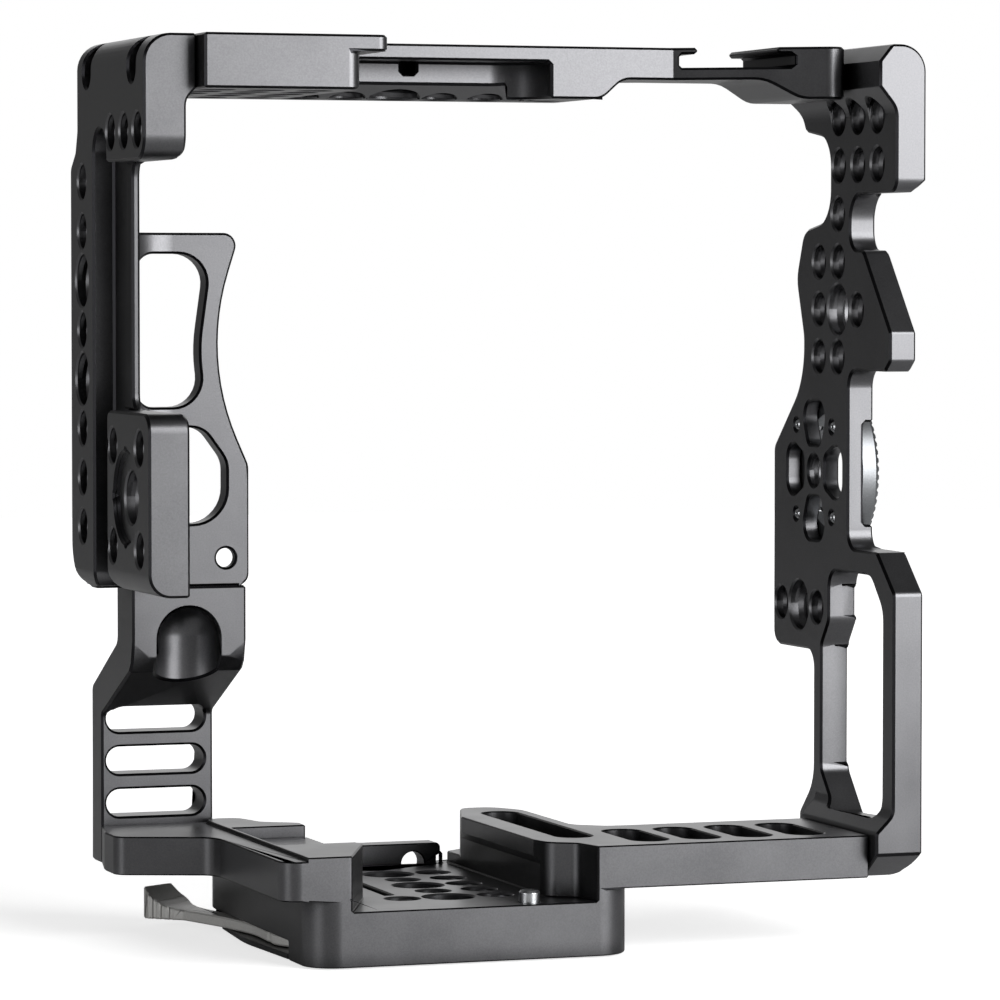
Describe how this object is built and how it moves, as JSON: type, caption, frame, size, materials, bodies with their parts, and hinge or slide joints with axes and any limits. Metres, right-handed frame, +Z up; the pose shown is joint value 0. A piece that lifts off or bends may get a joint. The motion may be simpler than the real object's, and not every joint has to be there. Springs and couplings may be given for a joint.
{
  "type": "camera cage",
  "caption": "Bolted metal camera cage with threaded holes, accessory shoe, toothed rosette and a quick-release base with a cam lever.",
  "frame": {"origin": "axis of the middle 3/8-16 socket, at the underside of the base plate", "axes": "+X to the right and -Y to the front as seen from the side the lens points to, +Z up"},
  "size_m": [0.1492, 0.0825, 0.1661],
  "materials": {
    "anodised": "satin black anodised",
    "black_steel": "black oxide",
    "stainless": "machined",
    "spring_steel": "bright wire",
    "lever_metal": "bead blasted",
    "bronze": "sintered"
  },
  "bodies": {
    "cage": {"base_plate": "anodised", "left_side_plate": "anodised", "right_side_plate": "anodised", "top_plate": "anodised", "grip_leg": "anodised", "top_left_screws": "black_steel", "top_right_screws": "black_steel", "leg_top_screws": "black_steel", "leg_foot_screws": "black_steel", "right_foot_screws": "black_steel", "rosette": "stainless", "rosette_screws": "stainless", "cam_bush": "bronze", "lever_cover": "anodised", "cover_screws": "black_steel", "jaw_guide_screws": "stainless", "jaw_springs": "spring_steel", "locating_spring": "spring_steel", "locating_plug": "black_steel"},
    "lever": {"clamp_lever": "lever_metal", "cam_shaft": "stainless", "lever_screw": "stainless", "lever_washer": "stainless"},
    "jaw": {"clamp_jaw": "anodised"},
    "pin": {"locating_pin": "stainless"}
  },
  "joints": [
    {"name": "lever_hinge", "type": "hinge", "parent": "cage", "child": "lever", "pos_m": [-0.023, -0.007, 0.004], "axis": [0, 0, 1], "range_deg": [0, 100]},
    {"name": "jaw_slide", "type": "slide", "parent": "cage", "child": "jaw", "axis": [-1, 0, 0], "range_m": [0, 0.0023], "deforming": ["jaw_springs"]},
    {"name": "pin_slide", "type": "slide", "parent": "cage", "child": "pin", "axis": [0, 0, -1], "range_m": [0, 0.0022], "stiffness_N_per_m": 400, "springref_m": -0.002, "deforming": ["locating_spring"]}
  ],
  "couplings": [
    {"joint": "jaw_slide", "follows": "lever_hinge", "m_per_rad": 0.0013167}
  ]
}
